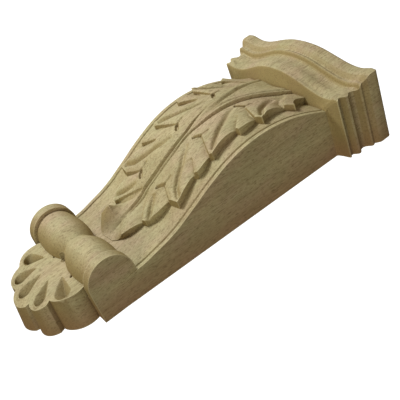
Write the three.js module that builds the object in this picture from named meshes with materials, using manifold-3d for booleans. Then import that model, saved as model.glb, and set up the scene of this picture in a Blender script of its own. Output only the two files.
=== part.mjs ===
// Carved corbel onlay in pale wood, one solid piece, in millimetres.
// It hangs on a wall: +Z runs up its length, the flat back lies in the plane y = 0,
// and the carving faces -Y. Depth below always means distance out from the wall, so y = -depth.
import * as THREE from "three";
import Module from "manifold-3d";

const wasm = await Module();
wasm.setup();

// driving sizes
const BODY_HALF_AT_SCROLL = 33.75;
const BODY_TAPER = 0.0336;
const SCROLL_TOP_Z = -46.2;
const RIM_WIDTH = 2.8;
const RIM_GROOVE_WIDTH = 1.8;
const RIM_GROOVE_DEPTH = 1.15;
const LEAF_RELIEF = 4.4;
const VEIN_RELIEF = 3.2;
const LEAF_TIP_Z = -43.8;
const CURL_CREST_Z = -35.2;
const CURL_HEIGHT = 2.9;
const CURL_OUT = 8.5;
const STEM_RISE = 1.8;
const STEM_GROOVE_WIDTH = 2.4;
const STEM_GROOVE_DEPTH = 2.2;
const SCROLL_Z = -59.0;
const SCROLL_DEPTH = 18.0;
const SCROLL_RADIUS = 12.1;
const SCROLL_FOOT_DEPTH = 13.2;
const FLANGE_WIDTH = 5.3;
const BARREL_SINK = 0.6;
const BARREL_WAIST = 9.0;
const BARREL_SWELL = 2.6;
const BARREL_SLICES = 14;
const SHELL_DEPTH = 18.6;
const SHELL_DRAFT = 0.05;
const SHELL_SLOPE_START_Z = -80.0;
const SHELL_FALL = 3.7;
const SHELL_NECK_HALF = 28.2;
const FAN_CENTRE_Z = -68.8;
const LOBE_SCALLOP = 3.0;
const GOUGE_HALF = 3.7;
const GOUGE_DEPTH = 3.3;
const GOUGE_WIDEST = 0.7;
const CAP_HALF_TOP = 50.0;
const CAP_SWELL = 2.1;
const CAP_SLICES = 14;

// ogee of the front, height against depth, from the scroll up to the cap
const OGEE = [
  [-46.2, 14.6], [-42, 15.0], [-34.9, 16.5], [-27.7, 18.1], [-20.8, 20.3], [-14.1, 23.2],
  [-7.4, 26.2], [-0.8, 29.3], [6.1, 32.1], [13.1, 34.6], [20.4, 36.5], [28, 37.6],
  [36, 37.9], [44.3, 37.2], [53, 35.5], [61.9, 32.5], [73.6, 27.3], [78, 25.4],
];

// right half of the leaf in plan, from its tip by the scroll up to the cap: each corner, then the point
// that the edge bows towards on its way to the next corner, if it bows
const LEAF_EDGE = [
  [[4.6, -43.8], [11.6, -40.0]], [[12.9, -29.0]], [[15.9, -28.3], [20.2, -22.5]], [[19.4, -14.7]],
  [[27.3, -13.6], [25.8, -7.5]], [[24.0, 0.4]], [[26.2, 2.0], [27.0, 6.0]], [[24.5, 11.2]],
  [[26.8, 12.4], [24.9, 18.5]], [[24.4, 29.2]], [[27.6, 29.6], [28.4, 34.5]], [[26.4, 40.2]],
  [[30.6, 42.0], [25.6, 48.0]], [[26.1, 57.6]], [[30.2, 61.8], [25.5, 63.5]], [[22.9, 68.5]],
  [[22.3, 76.5]],
];

// half width of the vein and of the stem that it widens into, by height
const STEM_EDGE = [
  [-34, 1.6], [5, 1.8], [18, 1.9], [22, 2.6], [30, 3.9], [40, 5.5], [48, 7.4], [56, 9.9], [64, 12.2],
  [73, 14.6], [75, 15.1],
];
const STEM_START_Z = 20;

// lines that part one lobe from the next, drawn from the outline inwards
const LOBE_LINES = [
  [[12.6, -28.6], [9.0, -26.6], [5.0, -21.9], [2.8, -15.8]],
  [[23.6, -11.0], [19.6, -8.4], [16.0, -3.5], [13.0, 1.6], [9.6, 6.0], [7.0, 11.0]],
  [[23.0, 11.8], [20.4, 12.6], [16.0, 15.6], [11.4, 17.6]],
  [[22.6, 16.6], [18.4, 22.6], [15.4, 27.5], [12.0, 34.5], [9.5, 41.0]],
  [[23.6, 30.6], [20.5, 33.0], [17.5, 37.0]],
  [[25.4, 40.5], [21.0, 41.0], [14.4, 44.0]],
  [[25.0, 45.8], [22.0, 48.0], [18.5, 53.5], [16.0, 60.0]],
];
const LOBE_LINE_WIDTH = 2.0;
const LOBE_LINE_DEPTH = 1.3;
const EYELETS = [
  [[8.0, -12.8], [11.3, -10.2], [11.5, -5.6]],
  [[7.6, 15.2], [10.6, 17.4], [11.8, 22.4]],
  [[9.6, 41.9], [13.4, 44.2], [14.0, 48.8]],
];
const EYELET_WIDTH = 2.6;
const EYELET_DEPTH = 2.4;

// places across and up the leaf at which its carved surface is taken
const LEAF_COLUMNS = [0, 2.4, 5.2, 8.5, 12, 17, 22, 28, 34];
const LEAF_ROWS = [
  -46, -43.8, -42.4, -41, -39.5, -38, -36.5, -35.2, -33.5, -31, -28, -24, -19, -14, -7, -1, 6, 13, 20,
  28, 36, 44, 50, 56, 62, 68, 74, 76.5,
];

// shell: the turns at which its five lobes meet, how far each reaches, and the two ends of each hollow
const LOBE_ENDS = [-90, -46.5, -17.4, 17.4, 46.5, 90];
const LOBE_REACH = [28.8, 30.2, 31.2, 30.2, 28.8];
const LOBE_STEPS = 10;
const GOUGES = [
  [[-12.0, -74.2], [-21.8, -80.8]], [[-10.4, -80.4], [-12.6, -92.8]], [[-3.9, -81.0], [-1.2, -96.2]],
  [[3.9, -80.0], [13.6, -93.0]], [[9.3, -74.6], [23.4, -81.0]],
];
const GOUGE_STATIONS = [0, 0.2, 0.45, 0.7, 0.85, 0.95, 1];

// cap moulding from its foot to its top: height, and how far its front and its ends stand in from the band
const CAP_STEPS = [
  [70.0, -22, -12.4], [72.6, -12.4, -10.5], [73.6, -9.4, -8.2], [74.9, -7.1, -4.9], [75.6, -6.1, -4.4],
  [76.4, -5.5, -4.7], [77.4, -5.2, -5.2], [78.4, -5.0, -4.7], [79.4, -4.8, -3.5], [80.6, -4.8, -3.1],
  [81.8, -4.9, -3.5], [82.8, -5.1, -4.4], [84.4, -5.4, -4.7], [86.0, -5.5, -4.2], [87.4, -5.2, -3.0],
  [88.7, -4.3, -1.8], [89.8, -3.4, -2.0], [90.6, -2.8, -1.6], [92.2, -1.2, -0.5], [94.0, -0.2, 0],
  [98.3, 0, 0], [99.5, -0.5, -0.7], [100, -1.4, -1.6],
];

// serpentine front edge of the cap, distance from the middle against depth
const SERPENTINE = [
  [0, 44.9], [5, 44.7], [10, 44.2], [15, 43.2], [20, 41.8], [25, 40.3], [30, 38.9], [35, 38.0],
  [40, 37.9], [44, 38.7], [47, 39.4], [50, 39.2],
];

const between = (value, low, high) => Math.min(high, Math.max(low, value));
const eased = (share) => between(share, 0, 1) ** 2 * (3 - 2 * between(share, 0, 1));

function along(table, at) {
  const last = table.length - 1;
  if (at <= table[0][0]) return table[0][1];
  for (let i = 0; i < last; i += 1) {
    if (at <= table[i + 1][0]) {
      const share = (at - table[i][0]) / (table[i + 1][0] - table[i][0]);
      return table[i][1] + share * (table[i + 1][1] - table[i][1]);
    }
  }
  return table[last][1];
}

const bodyHalf = (z) => BODY_HALF_AT_SCROLL + BODY_TAPER * (z - SCROLL_TOP_Z);
const front = (z) => along(OGEE, z);

// closed solid from a list of points and a list of faces
function solid(points, faces) {
  const triangles = [];
  for (const face of faces) {
    for (let i = 1; i < face.length - 1; i += 1) triangles.push(face[0], face[i], face[i + 1]);
  }
  const mesh = new wasm.Mesh({
    numProp: 3,
    vertProperties: new Float32Array(points.flat()),
    triVerts: new Uint32Array(triangles),
  });
  mesh.merge();
  const made = new wasm.Manifold(mesh);
  if (made.volume() < 0) throw new Error("a solid is inside out");
  return made;
}

// rings of equal length joined side to side, with a flat or fan-shaped end at each end
function loft(rings) {
  const points = rings.flat();
  const count = rings[0].length;
  const faces = [];
  for (let r = 0; r < rings.length - 1; r += 1) {
    for (let i = 0; i < count; i += 1) {
      const j = (i + 1) % count;
      const a = r * count;
      const b = a + count;
      faces.push([a + i, a + j, b + j], [a + i, b + j, b + i]);
    }
  }
  const ends = [[0, true], [rings.length - 1, false]];
  for (const [r, flip] of ends) {
    const ring = rings[r];
    const middle = ring.reduce((sum, p) => sum.map((v, k) => v + p[k] / count), [0, 0, 0]);
    points.push(middle);
    const centre = points.length - 1;
    for (let i = 0; i < count; i += 1) {
      const a = r * count + i;
      const b = r * count + ((i + 1) % count);
      faces.push(flip ? [centre, b, a] : [centre, a, b]);
    }
  }
  return tryFaces(points, faces);
}

function tryFaces(points, faces) {
  const made = signedVolume(points, faces);
  return solid(points, made < 0 ? faces.map((f) => [...f].reverse()) : faces);
}

function signedVolume(points, faces) {
  let total = 0;
  for (const f of faces) {
    const [a, b, c] = [points[f[0]], points[f[1]], points[f[2]]];
    total += a[0] * (b[1] * c[2] - b[2] * c[1])
      + a[1] * (b[2] * c[0] - b[0] * c[2]) + a[2] * (b[0] * c[1] - b[1] * c[0]);
  }
  return total;
}

// prism cut by a plan outline, standing off the wall between two depths; shaped(x, z, depth) may move
// its points in plan
function planPrism(outline, nearDepth, farDepth, shaped = (x, z) => [x, z]) {
  const shape = new THREE.Shape(outline.map(([x, z]) => new THREE.Vector2(x, z)));
  const made = new THREE.ExtrudeGeometry(shape, {
    depth: farDepth - nearDepth, bevelEnabled: false,
  });
  made.rotateX(Math.PI / 2);
  made.translate(0, -nearDepth, 0);
  const place = made.attributes.position;
  for (let i = 0; i < place.count; i += 1) {
    const [x, z] = shaped(place.getX(i), place.getZ(i), -place.getY(i));
    place.setX(i, x);
    place.setZ(i, z);
  }
  return fromGeometry(made);
}

function fromGeometry(geometry) {
  const place = geometry.attributes.position;
  const points = [];
  for (let i = 0; i < place.count; i += 1) {
    points.push([place.getX(i), place.getY(i), place.getZ(i)]);
  }
  const index = geometry.index ? [...geometry.index.array] : points.map((_, i) => i);
  const faces = [];
  for (let i = 0; i < index.length; i += 3) faces.push([index[i], index[i + 1], index[i + 2]]);
  return tryFaces(points, faces);
}

// body: the ogee carried across the width, its sides drawing in a little towards the scroll
function body() {
  const bottom = SCROLL_Z - SCROLL_RADIUS;
  const rings = [[bottom, SCROLL_FOOT_DEPTH], ...OGEE].map(([z, depth]) => {
    const half = bodyHalf(z);
    return [[-half, 0, z], [half, 0, z], [half, -depth, z], [-half, -depth, z]];
  });
  return loft(rings);
}

// thin V groove along each front edge of the body, leaving a flat rim
function rimGroove(side) {
  const rings = OGEE.map(([z, depth]) => {
    const x = side * (bodyHalf(z) - RIM_WIDTH);
    const w = RIM_GROOVE_WIDTH / 2;
    return [[x - w, -depth, z], [x - w, -depth - 1, z], [x + w, -depth - 1, z],
      [x + w, -depth, z], [x, -depth + RIM_GROOVE_DEPTH, z]];
  });
  return loft(rings);
}

// how far the leaf stands proud of the ground at a point of the plan
function relief(x, z) {
  const ax = Math.abs(x);
  let h = VEIN_RELIEF + (LEAF_RELIEF - VEIN_RELIEF) * eased(ax / 10);
  h -= 0.5 * between((z - 44) / 14, 0, 1) + 0.5 * between((-14 - z) / 14, 0, 1);
  if (z > STEM_START_Z && ax < along(STEM_EDGE, z)) {
    h += STEM_RISE * between((z - STEM_START_Z) / 12, 0, 1);
  }
  h += between((z - 50) / 24, 0, 1) * between(1 - ax / 24, 0, 1);
  h += CURL_HEIGHT * Math.exp(-(((ax - CURL_OUT) / 3.2) ** 2) - ((z - CURL_CREST_Z - 0.7) / 6) ** 2);
  const start = CURL_CREST_Z - 3 * eased((ax - 3) / 7);
  const climb = between((z - LEAF_TIP_Z) / (start - LEAF_TIP_Z), 0, 1);
  return 0.6 + (h - 0.6) * climb ** 1.2;
}

// block whose front follows the carved surface of the leaf
function reliefBlock() {
  const across = [...LEAF_COLUMNS.slice(1).reverse().map((x) => -x), ...LEAF_COLUMNS];
  const edge = LEAF_COLUMNS.at(-1);
  const rings = LEAF_ROWS.map((z) => {
    const ring = across.map((x) => [x, -(front(z) + relief(x, z)), z]);
    return [[-edge, -4, z], ...ring, [edge, -4, z]];
  });
  return loft(rings);
}

// V groove cut along a line of the plan, following the carved surface and fading at its ends
function groove(line, width, depth) {
  const rings = line.map(([x, z], i) => {
    const from = line[Math.max(0, i - 1)];
    const to = line[Math.min(line.length - 1, i + 1)];
    const length = Math.hypot(to[0] - from[0], to[1] - from[1]);
    const side = [(to[1] - from[1]) / length, -(to[0] - from[0]) / length];
    const taper = i === 0 || i === line.length - 1 ? 0.4 : 1;
    const w = (width * taper) / 2;
    const y = -(front(z) + relief(x, z));
    const rim = (share, lift) => [x + side[0] * w * share, y - lift, z + side[1] * w * share];
    return [rim(-1, 0), rim(-1.4, 2), rim(1.4, 2), rim(1, 0), [x, y + depth * taper, z]];
  });
  return loft(rings);
}

const mirrored = (line) => line.map(([x, z]) => [-x, z]);

// points of an edge given as corners and bows
function bowed(edge, steps) {
  const points = [];
  for (let i = 0; i < edge.length - 1; i += 1) {
    const [corner, bow] = edge[i];
    const [following] = edge[i + 1];
    const count = bow ? steps : 1;
    for (let k = 0; k < count; k += 1) {
      const t = k / count;
      const via = bow ?? corner;
      points.push(corner.map((c, j) => (1 - t) ** 2 * c + 2 * t * (1 - t) * via[j] + t ** 2 * following[j]));
    }
  }
  return [...points, edge.at(-1)[0]];
}

function leaf() {
  const half = bowed(LEAF_EDGE, 4);
  let made = planPrism([...half, ...mirrored(half).reverse()], 6, 60).intersect(reliefBlock());
  const stem = STEM_EDGE.map(([z, edge]) => [edge, z]);
  for (const flip of [(line) => line, mirrored]) {
    for (const line of LOBE_LINES) {
      made = made.subtract(groove(flip(line), LOBE_LINE_WIDTH, LOBE_LINE_DEPTH));
    }
    for (const eye of EYELETS) made = made.subtract(groove(flip(eye), EYELET_WIDTH, EYELET_DEPTH));
    made = made.subtract(groove(flip(stem), STEM_GROOVE_WIDTH, STEM_GROOVE_DEPTH));
  }
  return made;
}

// one arch-shaped slice of the scroll: round in front, straight down to the wall behind
function archRing(x, radius, depth) {
  const ring = [[x, 0, SCROLL_Z - radius]];
  const steps = 20;
  for (let i = 0; i <= steps; i += 1) {
    const angle = Math.PI * (i / steps);
    const z = SCROLL_Z - radius * Math.cos(angle);
    ring.push([x, -(depth + radius * Math.sin(angle)), z]);
  }
  ring.push([x, 0, SCROLL_Z + radius]);
  return ring;
}

// scroll across the foot: a flange at each end and two swelling barrels with a waist between
function scroll() {
  const outer = bodyHalf(SCROLL_Z);
  const inner = outer - FLANGE_WIDTH;
  const flange = (x0, x1) => loft([
    archRing(x0, SCROLL_RADIUS, SCROLL_DEPTH), archRing(x1, SCROLL_RADIUS, SCROLL_DEPTH),
  ]);
  const barrel = [];
  for (let i = -BARREL_SLICES; i <= BARREL_SLICES; i += 1) {
    const x = ((inner + 1) * i) / BARREL_SLICES;
    const t = Math.abs(x) / inner;
    const radius = BARREL_WAIST + BARREL_SWELL * Math.sin(Math.PI * Math.min(1, t)) ** 0.8;
    barrel.push(archRing(x, radius, SCROLL_DEPTH - BARREL_SINK));
  }
  return loft(barrel).add(flange(inner, outer)).add(flange(-outer, -inner));
}

// depth of the shell's face, which falls away towards its tip
const shellFace = (z) => SHELL_DEPTH - SHELL_FALL * Math.max(0, (SHELL_SLOPE_START_Z - z) / 17) ** 1.6;

// shell at the foot: five lobes in a fan, each with a teardrop hollow, drawn in towards its face
function shell() {
  const outline = [];
  LOBE_REACH.forEach((reach, lobe) => {
    for (let i = 0; i < LOBE_STEPS; i += 1) {
      const share = i / LOBE_STEPS;
      const turn = LOBE_ENDS[lobe] + (LOBE_ENDS[lobe + 1] - LOBE_ENDS[lobe]) * share;
      const angle = THREE.MathUtils.degToRad(turn);
      const r = reach - LOBE_SCALLOP * (1 - Math.sin(Math.PI * share) ** 0.8);
      outline.push([r * Math.sin(angle), FAN_CENTRE_Z - r * Math.cos(angle)]);
    }
  });
  const neckTop = SCROLL_Z + 1;
  outline.push([SHELL_NECK_HALF, FAN_CENTRE_Z], [SHELL_NECK_HALF, neckTop], [-SHELL_NECK_HALF, neckTop]);
  let made = planPrism(outline, 0, SHELL_DEPTH, (x, z, depth) => {
    const share = 1 - (SHELL_DRAFT * depth) / SHELL_DEPTH;
    return [x * share, z < FAN_CENTRE_Z ? FAN_CENTRE_Z + (z - FAN_CENTRE_Z) * share : z];
  });
  made = made.subtract(overShell());
  for (const [inner, outer] of GOUGES) made = made.subtract(gouge(inner, outer));
  return made;
}

// everything in front of the shell's sloping face
function overShell() {
  const reach = SHELL_NECK_HALF + 6;
  const clear = SHELL_DEPTH + 10;
  const rings = [-104, -99, -96, -93, -90, -87, -84, SHELL_SLOPE_START_Z].map((z) => [
    [-reach, -shellFace(z), z], [reach, -shellFace(z), z], [reach, -clear, z], [-reach, -clear, z],
  ]);
  return loft(rings);
}

// teardrop hollow of two flat facets, sharp at its inner end and round near the rim
function gouge(inner, outer) {
  const run = [outer[0] - inner[0], outer[1] - inner[1]];
  const length = Math.hypot(...run);
  const side = [run[1] / length, -run[0] / length];
  const rings = GOUGE_STATIONS.map((share) => {
    const near = Math.min(1, share / GOUGE_WIDEST) ** 0.85;
    const past = Math.max(0, share - GOUGE_WIDEST) / (1 - GOUGE_WIDEST);
    const far = Math.sqrt(Math.max(0, 1 - past * past));
    const w = Math.max(0.1, GOUGE_HALF * near * far);
    const d = Math.max(0.1, GOUGE_DEPTH * near * far ** 0.3);
    const [x, z] = [inner[0] + run[0] * share, inner[1] + run[1] * share];
    const rim = (at, lift) => {
      const v = z + side[1] * w * at;
      return [x + side[0] * w * at, -shellFace(v) - lift, v];
    };
    return [rim(-1, 0), rim(-1, 3), rim(1, 3), rim(1, 0), [x, -shellFace(z) + d, z]];
  });
  return loft(rings);
}

// cap: moulding mitred round both ends, its front edge in a serpentine
function cap() {
  const rings = CAP_STEPS.map(([z, frontInset, sideInset]) => {
    const half = CAP_HALF_TOP + sideInset;
    const lower = between((94 - z) / 5, 0, 1);
    const ring = [[-half, 0, z]];
    for (let i = -CAP_SLICES; i <= CAP_SLICES; i += 1) {
      const t = i / CAP_SLICES;
      const swell = CAP_SWELL * lower * Math.max(0, 1 - (1.15 * t) ** 2);
      const depth = along(SERPENTINE, CAP_HALF_TOP * Math.abs(t)) + frontInset + swell;
      ring.push([half * t, -depth, z]);
    }
    ring.push([half, 0, z]);
    return ring;
  });
  return loft(rings);
}

let carved = body().subtract(rimGroove(1)).subtract(rimGroove(-1));
carved = carved.add(leaf()).add(scroll()).add(shell()).add(cap());

const out = carved.getMesh();
const geometry = new THREE.BufferGeometry();
const places = new Float32Array(out.triVerts.length * 3);
out.triVerts.forEach((v, i) => {
  for (let k = 0; k < 3; k += 1) places[i * 3 + k] = out.vertProperties[v * out.numProp + k];
});
geometry.setAttribute("position", new THREE.BufferAttribute(places, 3));
geometry.computeVertexNormals();

const wood = new THREE.MeshStandardMaterial({ color: 0xc2b283, roughness: 0.8, metalness: 0 });
const corbel = new THREE.Mesh(geometry, wood);
corbel.name = "carved_corbel_onlay";

const group = new THREE.Group();
group.add(corbel);
export default group;
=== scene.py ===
import math

import bmesh
import bpy
import numpy as np
from mathutils import Matrix, Vector


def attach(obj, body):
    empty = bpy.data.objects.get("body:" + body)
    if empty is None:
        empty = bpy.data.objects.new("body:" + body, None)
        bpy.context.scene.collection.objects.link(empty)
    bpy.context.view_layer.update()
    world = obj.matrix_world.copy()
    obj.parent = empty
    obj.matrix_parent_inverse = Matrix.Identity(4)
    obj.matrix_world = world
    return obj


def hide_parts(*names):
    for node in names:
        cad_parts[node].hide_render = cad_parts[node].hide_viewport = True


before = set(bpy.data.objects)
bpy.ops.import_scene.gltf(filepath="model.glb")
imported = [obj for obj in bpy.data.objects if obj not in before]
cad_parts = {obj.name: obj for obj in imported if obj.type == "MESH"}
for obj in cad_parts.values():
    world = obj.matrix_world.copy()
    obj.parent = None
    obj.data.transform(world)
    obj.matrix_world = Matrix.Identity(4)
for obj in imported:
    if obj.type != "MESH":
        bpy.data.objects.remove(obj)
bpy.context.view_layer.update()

MM = 0.001

# The camera stands below the foot of the carving and to its right, rolled over, as the photo was taken:
# the long axis of the carving runs from the lower left of the picture to the upper right.
CAMERA_PLACE = (294.2, -221.6, -114.5)
CAMERA_AZIMUTH = 53.055
CAMERA_ELEVATION = -18.529
CAMERA_ROLL = 54.042
SENSOR_WIDTH = 36.0
FOCAL_PIXELS = 740.9
PICTURE_PIXELS = 400.0


def camera_turn():
    azimuth = math.radians(CAMERA_AZIMUTH)
    elevation = math.radians(CAMERA_ELEVATION)
    away = Vector((math.sin(azimuth) * math.cos(elevation),
                   -math.cos(azimuth) * math.cos(elevation),
                   math.sin(elevation)))
    return (-away).to_track_quat("-Z", "Y").to_matrix() @ Matrix.Rotation(math.radians(CAMERA_ROLL), 3, "Z")


lens = bpy.data.cameras.new("camera")
lens.sensor_width = SENSOR_WIDTH
lens.lens = FOCAL_PIXELS / PICTURE_PIXELS * SENSOR_WIDTH
lens.clip_start = 0.01
camera = bpy.data.objects.new("camera", lens)
camera.matrix_world = Matrix.Translation(Vector(CAMERA_PLACE) * MM) @ camera_turn().to_4x4()
bpy.context.scene.collection.objects.link(camera)
bpy.context.scene.camera = camera


# The body is the block that everything is carved on: a flat back, straight sides that draw in towards
# the scroll, and an ogee front with a fine V groove along each edge that leaves a flat rim. All sizes
# are in millimetres until the parts are joined.
SCROLL_TOP = -46.2
HALF_WIDTH = 33.75
TAPER = 0.0336
RIM_WIDTH = 2.8
RIM_GROOVE_WIDTH = 0.65
RIM_GROOVE_DEPTH = 1.0
RIM_STRIP = 3.9
RIM_STRIP_CELLS = 0.4
BODY_CELLS = (120, 200)
OGEE = [
    (-71.1, 13.2), (-58, 13.4), (-46.2, 14.6), (-42, 15.0), (-34.9, 16.5), (-27.7, 18.1), (-20.8, 20.3),
    (-14.1, 23.2), (-7.4, 26.2), (-0.8, 29.3), (6.1, 32.1), (13.1, 34.6), (20.4, 36.5), (28, 37.6),
    (36, 37.9), (44.3, 37.2), (53, 35.5), (61.9, 32.5), (73.6, 27.3), (78, 25.4),
]


def flowing(table, at):
    """The value at each place of a table of (place, value), on a smooth curve through its points."""
    places, values = np.array(table, float).T
    slopes = np.gradient(values, places)
    span = np.clip(np.searchsorted(places, at) - 1, 0, len(places) - 2)
    width = places[span + 1] - places[span]
    t = np.clip((at - places[span]) / width, 0, 1)
    start = values[span] * (1 + 2 * t) + slopes[span] * width * t
    end = values[span + 1] * (3 - 2 * t) - slopes[span + 1] * width * (1 - t)
    return start * (1 - t) ** 2 + end * t ** 2


def half_width(z):
    return HALF_WIDTH + TAPER * (z - SCROLL_TOP)


def ground(z):
    return flowing(OGEE, z)


def grown(at, start, run):
    """0 up to the start, 1 from a run beyond it, and even between the two."""
    return np.clip((at - start) / run, 0, 1)


def outward(bm):
    """Turns every face of a closed block outwards."""
    bmesh.ops.recalc_face_normals(bm, faces=bm.faces)
    if bm.calc_volume(signed=True) < 0:
        bmesh.ops.reverse_faces(bm, faces=bm.faces)


def carved_sheet(cells, place, back=0.0):
    """A closed block: a sheet shaped by place(u, v), u and v from 0 to 1, carried back to the wall."""
    bm = bmesh.new()
    bmesh.ops.create_grid(bm, x_segments=cells[0], y_segments=cells[1], size=0.5)
    front = bm.verts[:]
    extruded = bmesh.ops.extrude_face_region(bm, geom=bm.faces[:])
    pushed = [v for v in extruded["geom"] if isinstance(v, bmesh.types.BMVert)]
    for verts, flat in ((front, False), (pushed, True)):
        uv = np.array([v.co[:2] for v in verts]) + 0.5
        x, depth, z = place(uv[:, 0], uv[:, 1])
        depth = np.full(len(x), back) if flat else depth
        for vert, *where in zip(verts, x, -depth, z):
            vert.co = where
    outward(bm)
    return bm


def body_surface(u, v):
    z = OGEE[0][0] + v * (OGEE[-1][0] - OGEE[0][0])
    reach = np.abs(2 * u - 1)
    inner = (half_width(z) - RIM_STRIP) * reach / (1 - RIM_STRIP_CELLS)
    outer = half_width(z) - RIM_STRIP * (1 - reach) / RIM_STRIP_CELLS
    x = np.where(reach < 1 - RIM_STRIP_CELLS, inner, outer)
    off_groove = np.abs(x - (half_width(z) - RIM_WIDTH))
    groove = RIM_GROOVE_DEPTH * np.clip(1 - off_groove / RIM_GROOVE_WIDTH, 0, 1)
    return np.copysign(x, 2 * u - 1), ground(z) - groove * (z > SCROLL_TOP), z


body = carved_sheet(BODY_CELLS, body_surface)


# The acanthus leaf stands proud of the ogee. Its edge is cut straight in towards the wall, in pointed
# lobes that overlap like shingles, with an eyelet where two lobes meet, a vein that widens into a fluted
# stem below the cap, and a tip that curls out to one side.
LEAF_RELIEF = 4.4
VEIN_RELIEF = 3.2
VALLEY_HALF = 10
LEAF_THINNING = 0.5
THINNING_RUN = 14
THIN_ABOVE = 44
THIN_BELOW = -14
# across the tip, as carved by hand: where its crest lies, how far it lifts there, and where it ends
CURL_CREST = [(-13, -39.6), (-11, -37.6), (-8, -34.4), (-4, -34.9), (0, -35.2), (9, -39.6), (13, -40.5)]
CURL_LIFT = [(-13, 0.6), (-11, 2.4), (-8, 5.6), (-4, 1.4), (0, -1.3), (4, -1.2), (9, -0.9), (13, -0.6)]
CURL_FOOT = [(-13, -42.2), (-6, -44.4), (3, -43.8), (9, -41.4), (13, -41.4)]
CURL_SPAN = 9.0
CURL_LIP = 0.4
# the tip's own corner and bow on the left, where it isn't the mirror of the right
LEFT_TIP = ((4.6, -44.4), (13.4, -42.6))
# corner, then the point that the edge bows towards on its way to the next corner, or None for a straight
LEAF_EDGE = [
    ((4.6, -43.8), (11.6, -40.0)), ((12.9, -29.0), None), ((15.9, -28.3), (20.2, -22.5)),
    ((19.4, -14.7), None), ((27.3, -13.6), (25.8, -7.5)), ((24.0, 0.4), None), ((26.2, 2.0), (27.0, 6.0)),
    ((24.5, 11.2), None), ((26.8, 12.4), (24.9, 18.5)), ((24.4, 29.2), None), ((27.6, 29.6), (28.4, 34.5)),
    ((26.4, 40.2), None), ((30.6, 42.0), (25.6, 48.0)), ((26.1, 57.6), None), ((30.2, 61.8), (25.5, 63.5)),
    ((22.9, 68.5), None), ((22.3, 77.0), None),
]
# along the vein: how far its edge is from the middle, how far it rises, and how deep its flute is
STEM_EDGE = [
    (-46, 0.2), (-34, 0.3), (-27, 1.0), (-15, 1.4), (5, 1.6), (18, 1.7), (22, 2.6), (30, 3.9), (40, 5.5),
    (48, 7.4), (56, 9.9), (64, 12.2), (73, 14.6), (78, 16.0),
]
STEM_RISE = [(-46, -0.5), (14, -0.5), (30, 1.2), (78, 1.3)]
STEM_FLUTE = [(-46, 0.0), (24, 0.0), (34, 0.9), (78, 1.0)]
STEM_WALL = 0.8
STEM_GROOVE_DEPTH = 2.1
STEM_GROOVE_EASING = 1.0
STEM_GROOVE_WIDTH = 1.0
FLUTE_FROM_EDGE = 3.8
FLUTE_WIDTH = 1.4
LEAF_TOP_SWELL = 1.0
LEAF_TOP_HALF = 24
# lower edges of the lobes, from the outline inwards
OVERLAPS = [
    [(13.4, -28.9), (9.0, -26.6), (5.0, -21.9), (2.8, -15.8)],
    [(20.4, -14.6), (16.0, -12.6), (11.8, -10.4)],
    [(24.6, 0.8), (20.0, 4.2), (16.6, 6.4)],
    [(25.0, 11.4), (20.4, 12.6), (16.0, 15.6), (11.4, 17.6)],
    [(25.0, 29.2), (20.5, 33.0), (17.5, 37.0)],
    [(27.0, 40.3), (21.0, 41.0), (14.4, 44.0)],
    [(26.8, 57.8), (21.5, 58.6), (17.5, 62.0), (15.5, 68.0)],
]
OVERLAP_DROP = 2.5
OVERLAP_REACH = 3.4
OVERLAP_RIM = 0.5
OVERLAP_RIM_REACH = 2.4
# soft hollows that run down the lobes
CREASE_WIDTH = 1.2
CREASE_DEPTH = 2.1
CREASES = [
    [(24.8, -11.4), (19.6, -8.4), (16.0, -3.5), (13.0, 1.6), (9.6, 6.0), (7.0, 11.0)],
    [(24.0, 15.0), (21.2, 18.6), (18.4, 22.6), (15.4, 27.5), (12.0, 34.5), (9.5, 41.0)],
    [(27.6, 44.0), (22.0, 48.0), (18.5, 53.5), (16.0, 60.0)],
    [(16.4, -26.0), (12.6, -22.0), (8.6, -16.0)],
]
EYELET_WIDTH = 1.15
EYELET_DEPTH = 1.5
EYELET_WALL = 0.7
EYELETS = [
    [(8.0, -12.8), (11.3, -10.2)],
    [(7.6, 15.2), (10.6, 17.4)],
    [(9.6, 41.9), (13.4, 44.2)],
]
TAIL_WIDTH = 0.7
TAIL_DEPTH = 0.9
EYELET_TAILS = [
    [(11.3, -10.2), (11.5, -5.6)],
    [(10.6, 17.4), (11.8, 22.4)],
    [(13.4, 44.2), (14.0, 48.8)],
]
LEAF_SHEET_HALF = 33.5
LEAF_SHEET_FOOT = -45.5
LEAF_SHEET_LENGTH = 122.5
LEAF_SHEET_CELLS = (190, 340)
LEAF_CUT_FROM = 6
LEAF_CUT_TO = 60


def bowed_outline(edge, steps=7):
    points = []
    for (corner, bow), (following, _) in zip(edge, edge[1:]):
        start, end = np.array(corner), np.array(following)
        middle = (start + end) / 2 if bow is None else np.array(bow)
        count = 1 if bow is None else steps
        for i in range(count):
            t = i / count
            points.append((1 - t) ** 2 * start + 2 * t * (1 - t) * middle + t ** 2 * end)
    return points + [np.array(edge[-1][0])]


def from_line(x, z, line):
    """How far each point of the plan is from a line, and how far along it, from 0 to 1."""
    points = np.array(line, float)
    lengths = np.linalg.norm(np.diff(points, axis=0), axis=1)
    before = np.concatenate([[0], np.cumsum(lengths)]) / lengths.sum()
    nearest = np.full(len(x), np.inf)
    share = np.zeros(len(x))
    for i, length in enumerate(lengths):
        step = (points[i + 1] - points[i]) / length
        t = np.clip((x - points[i, 0]) * step[0] + (z - points[i, 1]) * step[1], 0, length)
        gap = np.hypot(x - points[i, 0] - t * step[0], z - points[i, 1] - t * step[1])
        closer = gap < nearest
        nearest = np.where(closer, gap, nearest)
        share = np.where(closer, before[i] + t / lengths.sum(), share)
    return nearest, share


def signed_side(x, z, line):
    """Positive where a point of the plan is below a line that is drawn from the outline inwards."""
    first, last = np.array(line[0], float), np.array(line[-1], float)
    run = last - first
    return run[0] * (z - first[1]) - run[1] * (x - first[0])


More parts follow.
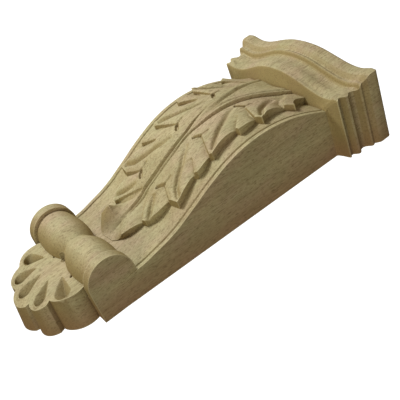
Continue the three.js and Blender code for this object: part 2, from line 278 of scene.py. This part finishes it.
def v_cut(x, z, line, width, depth):
    gap, _ = from_line(x, z, line)
    return depth * np.clip(1 - gap / width, 0, 1)


def pocket(x, z, line, width, depth):
    gap, _ = from_line(x, z, line)
    return depth * np.clip((width - gap) / EYELET_WALL, 0, 1)


def soft_cut(x, z, line, width, depth):
    gap, share = from_line(x, z, line)
    return depth * np.exp(-(gap / width) ** 2) * np.sin(math.pi * np.clip(0.22 + 0.78 * share, 0, 1)) ** 0.6


def overlap_cut(x, z, line, drop, reach, rim):
    """One lobe over the next: a step down below the line, and an eased rim above it."""
    gap, share = from_line(x, z, line)
    fade = (1 - share) ** 0.4
    below = signed_side(x, z, line) > 0
    eased = rim * np.clip(1 - gap / OVERLAP_RIM_REACH, 0, 1) ** 2
    return fade * np.where(below, drop * np.exp(-gap / reach), eased)


def leaf_relief(x, z):
    ax = np.abs(x)
    valley = np.clip(ax / VALLEY_HALF, 0, 1)
    height = VEIN_RELIEF + (LEAF_RELIEF - VEIN_RELIEF) * valley * valley * (3 - 2 * valley)
    height -= LEAF_THINNING * grown(z, THIN_ABOVE, THINNING_RUN)
    height -= LEAF_THINNING * grown(z, THIN_BELOW, -THINNING_RUN)
    for line in OVERLAPS:
        height -= overlap_cut(ax, z, line, OVERLAP_DROP, OVERLAP_REACH, OVERLAP_RIM)
    for crease in CREASES:
        height -= soft_cut(ax, z, crease, CREASE_WIDTH, CREASE_DEPTH)
    for eyelet in EYELETS:
        height -= pocket(ax, z, eyelet, EYELET_WIDTH, EYELET_DEPTH)
    for tail in EYELET_TAILS:
        height -= v_cut(ax, z, tail, TAIL_WIDTH, TAIL_DEPTH)

    edge = flowing(STEM_EDGE, z)
    height += flowing(STEM_RISE, z) * np.clip((edge - ax) / STEM_WALL, 0, 1)
    groove = STEM_GROOVE_DEPTH * np.maximum(grown(z, -36, 14), 0.15) - STEM_GROOVE_EASING * grown(z, 24, 10)
    height -= groove * np.clip(1 - np.abs(ax - edge) / STEM_GROOVE_WIDTH, 0, 1)
    off_flute = np.abs(ax - np.maximum(edge - FLUTE_FROM_EDGE, 0))
    height -= flowing(STEM_FLUTE, z) * np.clip(1 - off_flute / FLUTE_WIDTH, 0, 1)
    height += LEAF_TOP_SWELL * grown(z, 50, 24) * np.clip(1 - ax / LEAF_TOP_HALF, 0, 1)

    crest = np.interp(x, *np.array(CURL_CREST).T)
    foot = np.interp(x, *np.array(CURL_FOOT).T)
    height += np.interp(x, *np.array(CURL_LIFT).T) * (1 - grown(z, crest, CURL_SPAN)) ** 2
    return CURL_LIP + (height - CURL_LIP) * grown(z, foot, crest - foot)


def leaf_surface(u, v):
    z = LEAF_SHEET_FOOT + v * LEAF_SHEET_LENGTH
    x = (2 * u - 1) * LEAF_SHEET_HALF
    return x, ground(z) + leaf_relief(x, z), z


def outline_prism(points, near, far):
    bm = bmesh.new()
    face = bm.faces.new([bm.verts.new((x, -near, z)) for x, z in points])
    extruded = bmesh.ops.extrude_face_region(bm, geom=[face])
    pushed = [v for v in extruded["geom"] if isinstance(v, bmesh.types.BMVert)]
    bmesh.ops.translate(bm, verts=pushed, vec=(0, near - far, 0))
    outward(bm)
    bmesh.ops.triangulate(bm, faces=[f for f in bm.faces if len(f.verts) > 4])
    return bm


def to_object(bm, name):
    mesh = bpy.data.meshes.new(name)
    bm.to_mesh(mesh)
    bm.free()
    made = bpy.data.objects.new(name, mesh)
    bpy.context.scene.collection.objects.link(made)
    return made


def applied(target):
    """The mesh that an object's modifiers make, as its own mesh, with the modifiers gone."""
    graph = bpy.context.evaluated_depsgraph_get()
    mesh = bpy.data.meshes.new_from_object(target.evaluated_get(graph))
    target.modifiers.clear()
    target.data = mesh


def cut_to(surface, prism, name):
    """The part of a carved block that lies inside an outline prism."""
    block = to_object(surface, name)
    cutter = to_object(prism, name + "_cutter")
    cut = block.modifiers.new("outline", "BOOLEAN")
    cut.operation = "INTERSECT"
    cut.solver = "MANIFOLD"
    cut.object = cutter
    applied(block)
    bpy.data.objects.remove(cutter)
    return block


right_edge = bowed_outline(LEAF_EDGE)
left_edge = bowed_outline([LEFT_TIP] + LEAF_EDGE[1:])
leaf_outline = right_edge + [(-x, z) for x, z in reversed(left_edge)]
leaf_cutter = outline_prism(leaf_outline, LEAF_CUT_FROM, LEAF_CUT_TO)
leaf = cut_to(carved_sheet(LEAF_SHEET_CELLS, leaf_surface), leaf_cutter, "leaf")


# The scroll lies across the foot of the ogee: a flat flange at each end, flush with the sides, and
# between them two swelling barrels that meet in a waist, all rounded in front and straight behind.
SCROLL_Z = -59.0
SCROLL_DEPTH = 18.0
SCROLL_RADIUS = 12.1
FLANGE_WIDTH = 5.3
BARREL_RADIUS = [(-1, 8.6), (0, 8.6), (3, 9.7), (8, 11.2), (14, 11.7), (20, 11.5), (25, 11.0), (29, 10.6)]
BARREL_OVERRUN = 0.5
BARREL_SETBACK = 0.6
FLANGE_CELLS = (10, 60)
BARREL_CELLS = (140, 70)
# a small oval hollow where the waist runs down onto the shell
HOLLOW_PLACE = (-0.6, -20.4, -67.9)
HOLLOW_HALF = (2.6, 2.4, 5.2)
HOLLOW_TILT = math.radians(-36)
scroll_half = half_width(SCROLL_Z)


def arch(x, radius, turn, centre):
    return x, centre + radius * np.sin(turn), SCROLL_Z - radius * np.cos(turn)


def flange_surface(side):
    def place(u, v):
        x = side * (scroll_half - FLANGE_WIDTH * (1 - u))
        return arch(x, np.full(len(u), SCROLL_RADIUS), math.pi * v, SCROLL_DEPTH)
    return place


def barrel_surface(u, v):
    x = (2 * u - 1) * (scroll_half - FLANGE_WIDTH + BARREL_OVERRUN)
    radius = flowing(BARREL_RADIUS, np.abs(x))
    return arch(x, radius, math.pi * v, SCROLL_DEPTH - BARREL_SETBACK)


def oval():
    bm = bmesh.new()
    bmesh.ops.create_icosphere(bm, subdivisions=4, radius=1.0)
    bmesh.ops.scale(bm, verts=bm.verts, vec=HOLLOW_HALF)
    bmesh.ops.rotate(bm, verts=bm.verts, matrix=Matrix.Rotation(HOLLOW_TILT, 3, "X"))
    bmesh.ops.translate(bm, verts=bm.verts, vec=HOLLOW_PLACE)
    return bm


flanges = [carved_sheet(FLANGE_CELLS, flange_surface(side)) for side in (1, -1)]
barrels = carved_sheet(BARREL_CELLS, barrel_surface)


# The shell hangs below the scroll: a thick fan with five rounded lobes cut straight back to the wall,
# and a teardrop hollow gouged down the middle of each lobe.
SHELL_DEPTH = 18.6
FAN_CENTRE = -68.8
LOBE_ENDS = (-90, -46.5, -17.4, 17.4, 46.5, 90)
LOBE_REACH = (28.8, 30.2, 31.2, 30.2, 28.8)
LOBE_SCALLOP = 3.0
LOBE_STEPS = 14
SHELL_NECK_HALF = 28.2
SHELL_NECK_TOP = -58
SHELL_SLOPE_START = -80
SHELL_SLOPE_RUN = 17
SHELL_SLOPE_DROP = 3.7
SHELL_SHEET_HALF = 33
SHELL_SHEET_FOOT = -101.5
SHELL_SHEET_LENGTH = 46
SHELL_SHEET_CELLS = (200, 150)
SHELL_CUT_TO = 40
SHELL_DRAFT = 0.045
SHELL_TIP_DRAFT = 0.035
# each hollow runs from its sharp inner end to its round outer end
GOUGES = [
    ((-12.6, -73.6), (-21.6, -82.2), 4.4), ((-9.0, -80.0), (-13.2, -93.2), 3.7),
    ((-2.4, -80.8), (-1.4, -96.4), 3.9), ((5.4, -80.2), (14.6, -92.6), 3.7),
    ((9.6, -74.2), (24.8, -81.6), 4.4),
]
GOUGE_DEPTH = 3.8
GOUGE_WIDEST = 0.7
NICK_WIDTH = 0.7
NICK_DEPTH = 1.8
FOOT_NICKS = [[(-9.4, -67.8), (-8.0, -70.2)], [(12.8, -68.6), (14.4, -71.4)]]


def shell_outline():
    points = []
    for start, end, reach in zip(LOBE_ENDS, LOBE_ENDS[1:], LOBE_REACH):
        for i in range(LOBE_STEPS):
            turn = math.radians(start + (end - start) * i / LOBE_STEPS)
            radius = reach - LOBE_SCALLOP * (1 - math.sin(math.pi * i / LOBE_STEPS) ** 0.8)
            points.append((radius * math.sin(turn), FAN_CENTRE - radius * math.cos(turn)))
    half, top = SHELL_NECK_HALF, SHELL_NECK_TOP
    return points + [(half, FAN_CENTRE), (half, top), (-half, top)]


def teardrop_cut(x, z, inner, outer, half, deep):
    """Two flat facets that meet in a line, sharp at the inner end and round at the outer one."""
    run = np.array(outer) - np.array(inner)
    length = np.hypot(*run)
    share = ((x - inner[0]) * run[0] + (z - inner[1]) * run[1]) / length ** 2
    across = np.abs((x - inner[0]) * run[1] - (z - inner[1]) * run[0]) / length
    near = np.clip(share / GOUGE_WIDEST, 0, 1) ** 0.85
    far = np.sqrt(np.clip(1 - (np.clip(share - GOUGE_WIDEST, 0, 1) / (1 - GOUGE_WIDEST)) ** 2, 0, 1))
    wide = np.maximum(half * near * far, 1e-6)
    return deep * near * np.clip(1 - across / wide, 0, 1) * far ** 0.3


def shell_surface(u, v):
    x = (2 * u - 1) * SHELL_SHEET_HALF
    z = SHELL_SHEET_FOOT + v * SHELL_SHEET_LENGTH
    slope = np.clip((SHELL_SLOPE_START - z) / SHELL_SLOPE_RUN, 0, 2) ** 1.6
    depth = SHELL_DEPTH - SHELL_SLOPE_DROP * slope
    for gouge in GOUGES:
        depth -= teardrop_cut(x, z, *gouge, GOUGE_DEPTH)
    for nick in FOOT_NICKS:
        depth -= v_cut(x, z, nick, NICK_WIDTH, NICK_DEPTH)
    return x, depth, z


def drafted(shape):
    """Draws the shell in towards its face, most at the tip, as the cutter leaves it."""
    for vert in shape.data.vertices:
        x, depth, down = vert.co.x, -vert.co.y, FAN_CENTRE - vert.co.z
        towards_tip = max(down, 0) / max(math.hypot(x, down), 0.01)
        share = 1 - (SHELL_DRAFT + SHELL_TIP_DRAFT * towards_tip ** 4) * depth / SHELL_DEPTH
        vert.co.x = x * share
        vert.co.z = FAN_CENTRE - (down * share if down > 0 else down)


shell_cutter = outline_prism(shell_outline(), 0, SHELL_CUT_TO)
shell = cut_to(carved_sheet(SHELL_SHEET_CELLS, shell_surface), shell_cutter, "shell")
drafted(shell)


# The cap is a heavy moulding with a serpentine front, mitred round both ends: a tall top band over a
# quirk, an ogee band and a lip, then a fascia that slopes back under to meet the body.
CAP_HALF = 50.0
CAP_FOOT = 70.0
CAP_TOP = 100.0
CAP_CELLS = (180, 150)
# up the cap: how far its front and its ends stand in from the top band
FRONT_INSET = [
    (70.0, -22), (72.6, -13.0), (74.4, -8.0), (75.1, -6.0), (75.5, -5.2), (76.2, -4.9), (79.0, -4.7),
    (82.0, -4.9), (85.0, -5.4), (87.0, -5.5), (87.9, -4.9), (88.5, -3.6), (89.2, -2.9), (89.9, -2.9),
    (90.4, -3.0), (91.0, -2.6), (92.0, -1.6), (93.2, -0.5), (94.4, 0), (98.6, 0), (99.5, -0.4), (100, -1.3),
]
SIDE_INSET = [
    (70.0, -13.4), (72.4, -12.9), (73.6, -11.4), (74.4, -8.6), (74.9, -5.8), (75.4, -4.5), (76.0, -4.5),
    (77.0, -5.6), (78.0, -5.6), (79.0, -4.2), (79.9, -3.1), (81.0, -2.9), (82.0, -3.6), (83.2, -4.9),
    (84.6, -5.1), (86.0, -4.5), (87.2, -3.0), (88.0, -1.9), (88.8, -1.5), (89.6, -1.9), (90.4, -2.2),
    (91.2, -1.5), (92.6, -0.3), (94.0, 0), (98.4, 0), (99.4, -0.6), (100, -1.6),
]
# across the cap: how far its top band stands out from the wall
SERPENTINE = [
    (0, 44.9), (5, 44.7), (10, 44.2), (15, 43.2), (20, 41.8), (25, 40.3), (30, 38.9), (35, 38.0),
    (40, 37.9), (44, 38.7), (47, 39.4), (50, 39.2),
]
LOWER_SWELL = 2.1
SWELL_TOP = 94
SWELL_FADE = 5
SWELL_SPREAD = 1.15


def cap_surface(u, v):
    z = CAP_FOOT + v * (CAP_TOP - CAP_FOOT)
    side = CAP_HALF + np.interp(z, *np.array(SIDE_INSET).T)
    t = 2 * u - 1
    lower = grown(z, SWELL_TOP, -SWELL_FADE)
    swell = LOWER_SWELL * lower * np.clip(1 - (SWELL_SPREAD * t) ** 2, 0, 1)
    depth = flowing(SERPENTINE, CAP_HALF * np.abs(t)) + np.interp(z, *np.array(FRONT_INSET).T) + swell
    return side * t, depth, z


cap = carved_sheet(CAP_CELLS, cap_surface)


# All of it is one block of wood, so the forms are joined into one solid with crisp edges, as the chisel
# leaves them, and the skin is thinned where it is flat.
TRIANGLES = 188000
SHARP_TURN = 32
GOUGED_BEHIND = 9
GOUGED_BELOW = -72
GOUGED_FULL = 1.2

corbel = to_object(body, "carved_corbel")
others = [to_object(made, "form") for made in (barrels, *flanges, cap)] + [leaf, shell]
for other in others:
    join = corbel.modifiers.new("join", "BOOLEAN")
    join.operation = "UNION"
    join.solver = "MANIFOLD"
    join.object = other
applied(corbel)
for other in others:
    bpy.data.objects.remove(other)

hollow = to_object(oval(), "hollow")
scoop = corbel.modifiers.new("scoop", "BOOLEAN")
scoop.operation = "DIFFERENCE"
scoop.solver = "MANIFOLD"
scoop.object = hollow
applied(corbel)
bpy.data.objects.remove(hollow)

thin = corbel.modifiers.new("thin", "DECIMATE")
thin.ratio = min(1.0, TRIANGLES / sum(len(p.vertices) - 2 for p in corbel.data.polygons))
applied(corbel)

# how far each point lies inside a hollow of the shell, from 0 to 1, for darkening the wood there
inside = corbel.data.attributes.new("gouged", "FLOAT", "POINT")
skin = np.array([vert.co for vert in corbel.data.vertices])
cut_depth = sum(teardrop_cut(skin[:, 0], skin[:, 2], *gouge, GOUGE_DEPTH) for gouge in GOUGES)
on_face = (-skin[:, 1] > SHELL_DEPTH - GOUGED_BEHIND) & (skin[:, 2] < GOUGED_BELOW)
shares = np.where(on_face, np.clip(cut_depth / GOUGED_FULL, 0, 1), 0)
inside.data.foreach_set("value", shares.astype(np.float32))

corbel.data.transform(Matrix.Scale(MM, 4))
for polygon in corbel.data.polygons:
    polygon.use_smooth = True
corbel.data.set_sharp_from_angle(angle=math.radians(SHARP_TURN))


# The wood is a pale, close-grained hardwood left bare: fine pores that show as short dark dashes along
# the grain and as dots on the ends, soft streaks, and a tone that drifts from straw to pinkish. Shade is
# painted into the recesses, the hollows of the shell are darker inside, and a highlight, partly standing
# for wear, is painted on the edges.
class Maths:
    """A shader value that plain arithmetic can be done on; each sum adds a Math node."""

    tree = None

    def __init__(self, socket):
        self.socket = socket

    def _with(self, operation, *others):
        return node("ShaderNodeMath", {"operation": operation}, {
            i: v for i, v in enumerate((self, *others))
        })

    def __add__(self, other):
        return self._with("ADD", other)

    def __mul__(self, other):
        return self._with("MULTIPLY", other)

    def __sub__(self, other):
        return self._with("SUBTRACT", other)

    def __rsub__(self, other):
        return node("ShaderNodeMath", {"operation": "SUBTRACT"}, {0: other, 1: self})

    __radd__ = __add__
    __rmul__ = __mul__


def node(kind, settings, inputs, output=0):
    made = Maths.tree.nodes.new(kind)
    for key, value in settings.items():
        if key == "stops":
            ramp = made.color_ramp
            while len(ramp.elements) < len(value):
                ramp.elements.new(0.5)
            for element, (place, colour) in zip(ramp.elements, value):
                element.position = place
                element.color = colour
        else:
            setattr(made, key, value)
    for key, value in inputs.items():
        if isinstance(value, Maths):
            Maths.tree.links.new(value.socket, made.inputs[key])
        else:
            made.inputs[key].default_value = value
    return Maths(made.outputs[output])


def stretched(scale, place=(0, 0, 0)):
    where = node("ShaderNodeTexCoord", {}, {}, "Object")
    return node("ShaderNodeMapping", {}, {"Vector": where, "Location": place, "Scale": scale})


def noise(scale, place=(0, 0, 0), detail=3.0, roughness=0.5):
    settings = {"Vector": stretched(scale, place), "Scale": 1.0, "Detail": detail, "Roughness": roughness}
    return node("ShaderNodeTexNoise", {}, settings, "Fac")


def ramp(value, *stops):
    return node("ShaderNodeValToRGB", {"stops": [(p, (c, c, c, 1)) for p, c in stops]}, {"Fac": value})


def mixed(factor, first, second, blend="MIX"):
    settings = {"data_type": "RGBA", "blend_type": blend}
    return node("ShaderNodeMix", settings, {0: factor, 6: first, 7: second}, 2)


wood = bpy.data.materials.new("bare_pale_wood")
wood.use_nodes = True
Maths.tree = wood.node_tree
shader = wood.node_tree.nodes["Principled BSDF"]

STRAW = (0.56, 0.50, 0.29, 1)
PINKISH = (0.55, 0.44, 0.295, 1)
GREENISH = (0.49, 0.47, 0.265, 1)
STREAK = (0.29, 0.205, 0.10, 1)
LINE = (0.20, 0.135, 0.06, 1)
PORE = (0.13, 0.08, 0.035, 1)
END_GRAIN = (0.30, 0.225, 0.078, 1)
HOLLOW_TONE = (0.24, 0.18, 0.075, 1)
RECESS_SHADE = (0.16, 0.095, 0.035, 1)
EDGE = (0.66, 0.60, 0.37, 1)
HEART = (0.33, 0.17, 0.085, 1)
HEART_PER_METRE = 70
RECESS_REACH = 2.4 * MM
EDGE_REACH = 0.9 * MM
SHADE_RAYS = 8
ROUGHNESS = 0.72
SHEEN = 0.25
GRAIN_STRENGTH = 0.3
GRAIN_RELIEF = 0.25 * MM

# patterns that run finer across the grain than along it, in turns per metre
drift = ramp(noise((60, 60, 35), detail=3.0), (0.42, 0), (0.60, 1))
drift_green = ramp(noise((90, 90, 60), (3.1, 0, 0), detail=3.0), (0.42, 0), (0.62, 1))
streaks = ramp(noise((330, 330, 6), detail=4.0, roughness=0.6), (0.42, 0), (0.66, 1))
lines = ramp(noise((850, 850, 24), (5, 0, 0), detail=3.0, roughness=0.7), (0.50, 0), (0.62, 1))
fibres = noise((1500, 1500, 35), detail=4.0, roughness=0.7)
pores = ramp(noise((2100, 2100, 360), (0, 7, 0), detail=1.0), (0.35, 1), (0.43, 0))
speckle = ramp(noise((800, 800, 800), (2, 0, 0), detail=2.0, roughness=0.8), (0.40, 0), (0.60, 1))
facing = node("ShaderNodeTexCoord", {}, {}, "Normal")
upright = node("ShaderNodeSeparateXYZ", {}, {0: facing}, 2)
end_grain = ramp(node("ShaderNodeMath", {"operation": "ABSOLUTE"}, {0: upright}), (0.30, 0), (0.85, 1))
# painted shade: the wood is darkened where nearby surfaces close it in, standing for the shade that falls
# in recesses, grooves and under the carving
open_air = node("ShaderNodeAmbientOcclusion", {"samples": SHADE_RAYS}, {"Distance": RECESS_REACH}, "AO")
painted_recess_shade = ramp(open_air, (0.20, 1), (0.85, 0))
# painted highlight, partly wear: thin outstanding edges are made paler, standing for the light they catch
# as well as for rubbing
within = {"samples": SHADE_RAYS, "inside": True}
bulk = node("ShaderNodeAmbientOcclusion", within, {"Distance": EDGE_REACH}, "AO")
worn_and_highlit_edge = ramp(bulk, (0.50, 1), (0.88, 0))
# the wood turns redder over the last 14 mm before the wall
out_from_wall = node("ShaderNodeSeparateXYZ", {}, {0: stretched((1, 1, 1))}, 1)
heart = ramp(out_from_wall * HEART_PER_METRE + 1, (0.0, 0), (1.0, 1))
gouged = node("ShaderNodeAttribute", {"attribute_name": "gouged"}, {}, "Fac")

colour = mixed(drift * 0.8, STRAW, PINKISH)
colour = mixed(drift_green * 0.7, colour, GREENISH)
colour = mixed(streaks * 0.26, colour, STREAK)
colour = mixed(lines * 0.22, colour, LINE)
colour = mixed(end_grain * 0.8, colour, END_GRAIN)
colour = mixed(heart * 0.6, colour, HEART)
colour = mixed(pores * 0.45, colour, PORE)
colour = mixed(speckle * 0.22, colour, STREAK)
# darker inside the hollows of the shell, the more the deeper
colour = mixed(gouged * 0.5, colour, HOLLOW_TONE)
# painted shade in the recesses
colour = mixed(painted_recess_shade * 0.55, colour, RECESS_SHADE)
# painted highlight and wear on the edges
colour = mixed(worn_and_highlit_edge * 0.55, colour, EDGE)
grain_height = fibres * 0.35 - pores * 0.9 + speckle * 0.3
grain = {"Height": grain_height, "Strength": GRAIN_STRENGTH, "Distance": GRAIN_RELIEF}
bump = node("ShaderNodeBump", {}, grain, "Normal")
wood.node_tree.links.new(colour.socket, shader.inputs["Base Color"])
wood.node_tree.links.new(bump.socket, shader.inputs["Normal"])
shader.inputs["Roughness"].default_value = ROUGHNESS
shader.inputs["Specular IOR Level"].default_value = SHEEN

corbel.data.materials.clear()
corbel.data.materials.append(wood)
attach(corbel, "root")
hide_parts("carved_corbel_onlay")


# The studio is a white surround with a pale floor well below, a soft light in front and to the left,
# and a wide warm fill from below on the camera's side.
KEY_FROM = (-0.24, -0.47, -0.07)
KEY_DISTANCE = 0.55
KEY_SIZE = 0.18
KEY_POWER = 2.35
KEY_COLOUR = (1.0, 1.0, 0.98)
FILL_FROM = (0.55, -0.35, -0.85)
FILL_DISTANCE = 1.3
FILL_SIZE = 0.5
FILL_POWER = 4.6
FILL_COLOUR = (1.0, 0.94, 0.80)
BACKDROP_GLOW = 1.25
AMBIENT = 0.23
AMBIENT_TINT = (1.0, 0.85, 0.66, 1)
FLOOR_DROP = -1.2
FLOOR_SIZE = 3.0
FLOOR_COLOUR = (0.85, 0.85, 0.84, 1)
FLOOR_ROUGHNESS = 0.9


def soft_light(name, towards, distance, size, power, colour):
    lamp = bpy.data.lights.new(name, "AREA")
    lamp.shape = "DISK"
    lamp.size = size
    lamp.energy = power
    lamp.color = colour
    made = bpy.data.objects.new(name, lamp)
    direction = Vector(towards).normalized()
    turn = direction.to_track_quat("Z", "Y").to_matrix().to_4x4()
    made.matrix_world = Matrix.Translation(direction * distance) @ turn
    bpy.context.scene.collection.objects.link(made)


soft_light("key", KEY_FROM, KEY_DISTANCE, KEY_SIZE, KEY_POWER, KEY_COLOUR)
soft_light("fill", FILL_FROM, FILL_DISTANCE, FILL_SIZE, FILL_POWER, FILL_COLOUR)

surround = bpy.data.worlds.new("surround")
surround.use_nodes = True
bpy.context.scene.world = surround
bpy.context.scene.view_settings.view_transform = "Standard"
Maths.tree = surround.node_tree
backdrop = surround.node_tree.nodes["Background"]
seen = node("ShaderNodeLightPath", {}, {}, "Is Camera Ray")
glow = AMBIENT + seen * (BACKDROP_GLOW - AMBIENT)
tint = mixed(seen, AMBIENT_TINT, (1, 1, 1, 1))
surround.node_tree.links.new(glow.socket, backdrop.inputs["Strength"])
surround.node_tree.links.new(tint.socket, backdrop.inputs["Color"])

floor_mesh = bmesh.new()
bmesh.ops.create_grid(floor_mesh, x_segments=1, y_segments=1, size=FLOOR_SIZE)
bmesh.ops.translate(floor_mesh, verts=floor_mesh.verts, vec=(0, 0, FLOOR_DROP))
floor = to_object(floor_mesh, "floor")
pale = bpy.data.materials.new("pale_floor")
pale.use_nodes = True
pale_shader = pale.node_tree.nodes["Principled BSDF"]
pale_shader.inputs["Base Color"].default_value = FLOOR_COLOUR
pale_shader.inputs["Roughness"].default_value = FLOOR_ROUGHNESS
floor.data.materials.append(pale)
